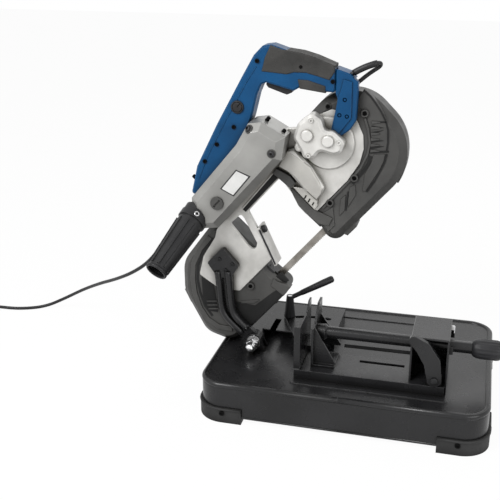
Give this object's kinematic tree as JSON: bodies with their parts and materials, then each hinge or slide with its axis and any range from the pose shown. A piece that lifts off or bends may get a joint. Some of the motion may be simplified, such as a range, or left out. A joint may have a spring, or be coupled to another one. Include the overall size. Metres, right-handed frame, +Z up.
{
  "type": "portable band saw",
  "caption": "Portable band saw hinged on a bench stand with a sliding vise, a twisted blade loop between guarded wheels and a trigger grip.",
  "frame": {"origin": "floor under the middle of the stand and saw, cord left out", "axes": "+X along the stand towards the vise knob, +Y away from the operator, +Z up"},
  "size_m": [1.2225, 0.393, 0.6412],
  "materials": {
    "black_steel": "satin black paint",
    "cast_silver": "sand cast, bead blasted",
    "grey_plastic": "moulded, fine texture",
    "blue_plastic": "moulded, semi gloss",
    "grip_rubber": "soft overmould",
    "foot_rubber": "matt",
    "black_rubber": "moulded boot and lead",
    "chrome_steel": "bright plated",
    "screw_steel": "blackened socket heads",
    "blade_steel": "tempered strip",
    "wheel_alloy": "turned",
    "tyre_rubber": "smooth",
    "black_plastic": "moulded"
  },
  "bodies": {
    "stand": {"base_tray": "black_steel", "foot_near_left": "foot_rubber", "foot_near_right": "foot_rubber", "foot_far_left": "foot_rubber", "foot_far_right": "foot_rubber", "foot_screws": "screw_steel", "vise_bed": "black_steel", "miter_plate": "black_steel", "hinge_ears": "black_steel", "hinge_bolt": "chrome_steel", "hinge_nuts": "chrome_steel", "screw_bracket": "black_steel", "bracket_bolts": "chrome_steel", "lever_pin": "chrome_steel", "jaw_pivot_pin": "chrome_steel", "cord_lead": "black_rubber", "cord_coil": "black_rubber", "plug": "black_plastic"},
    "saw": {"saw_frame": "cast_silver", "swing_arm": "black_steel", "arm_screws": "screw_steel", "motor_housing": "cast_silver", "brush_cap": "grey_plastic", "gear_cover": "cast_silver", "cover_screws": "screw_steel", "front_guard": "grey_plastic", "rear_guard": "grey_plastic", "guard_screws": "screw_steel", "return_guard": "grey_plastic", "rear_guide": "screw_steel", "front_guide": "screw_steel", "work_stop": "cast_silver", "stop_knob": "black_plastic", "blade": "blade_steel", "idler_axle": "chrome_steel", "handle_near_shell": "blue_plastic", "handle_far_shell": "blue_plastic", "grip_cover": "grip_rubber", "handle_bracket": "blue_plastic", "handle_screws": "screw_steel", "hook": "screw_steel", "boot": "black_rubber", "strain_relief": "black_rubber"},
    "fixed_jaw_body": {"fixed_jaw": "black_steel", "lock_stud": "chrome_steel"},
    "lock_lever_body": {"lock_lever": "black_plastic"},
    "moving_jaw_body": {"moving_jaw": "black_steel"},
    "vise_screw_body": {"vise_screw": "black_steel", "hand_knob": "black_plastic"},
    "release_lever_body": {"release_lever": "black_steel"},
    "trigger_body": {"trigger": "black_plastic"},
    "speed_dial_body": {"speed_dial": "black_plastic"},
    "drive_wheel_body": {"drive_wheel": "wheel_alloy", "drive_tyre": "tyre_rubber"},
    "idler_wheel_body": {"idler_wheel": "wheel_alloy", "idler_tyre": "tyre_rubber"}
  },
  "joints": [
    {"name": "saw_tilt", "type": "hinge", "parent": "stand", "child": "saw", "pos_m": [-0.1434, 0, 0.088], "axis": [0, 1, 0], "range_deg": [0, 52], "deforming": ["cord_lead"]},
    {"name": "jaw_swing", "type": "hinge", "parent": "stand", "child": "fixed_jaw_body", "pos_m": [-0.0434, -0.036, 0.0973], "axis": [0, 0, 1], "range_deg": [-40, 0]},
    {"name": "lock_turn", "type": "hinge", "parent": "fixed_jaw_body", "child": "lock_lever_body", "pos_m": [-0.0974, 0.062, 0.12], "axis": [0, 0, 1], "range_deg": [0, 80]},
    {"name": "jaw_slide", "type": "slide", "parent": "stand", "child": "moving_jaw_body", "axis": [1, 0, 0], "range_m": [-0.0145, 0.105]},
    {"name": "screw_turn", "type": "hinge", "parent": "moving_jaw_body", "child": "vise_screw_body", "pos_m": [0.1306, -0.072, 0.14], "axis": [1, 0, 0], "continuous": true},
    {"name": "release_turn", "type": "hinge", "parent": "stand", "child": "release_lever_body", "pos_m": [0.1951, -0.13, 0.101], "axis": [0, 1, 0], "range_deg": [0, 25]},
    {"name": "trigger_pull", "type": "slide", "parent": "saw", "child": "trigger_body", "axis": [0.23, 0, 0.9732], "range_m": [0, 0.006], "stiffness_N_per_m": 600, "springref_m": -0.002},
    {"name": "speed_turn", "type": "hinge", "parent": "saw", "child": "speed_dial_body", "pos_m": [-0.17428, -0.039, 0.52957], "axis": [0, 1, 0], "range_deg": [0, 270]},
    {"name": "drive_spin", "type": "hinge", "parent": "saw", "child": "drive_wheel_body", "pos_m": [0.01609, 0, 0.45286], "axis": [0, 1, 0], "continuous": true},
    {"name": "idler_spin", "type": "hinge", "parent": "saw", "child": "idler_wheel_body", "pos_m": [-0.20303, 0, 0.20079], "axis": [0, 1, 0], "continuous": true}
  ],
  "couplings": [
    {"joint": "screw_turn", "follows": "jaw_slide", "rad_per_m": 1570.8},
    {"joint": "idler_spin", "follows": "drive_spin", "ratio": 1}
  ]
}
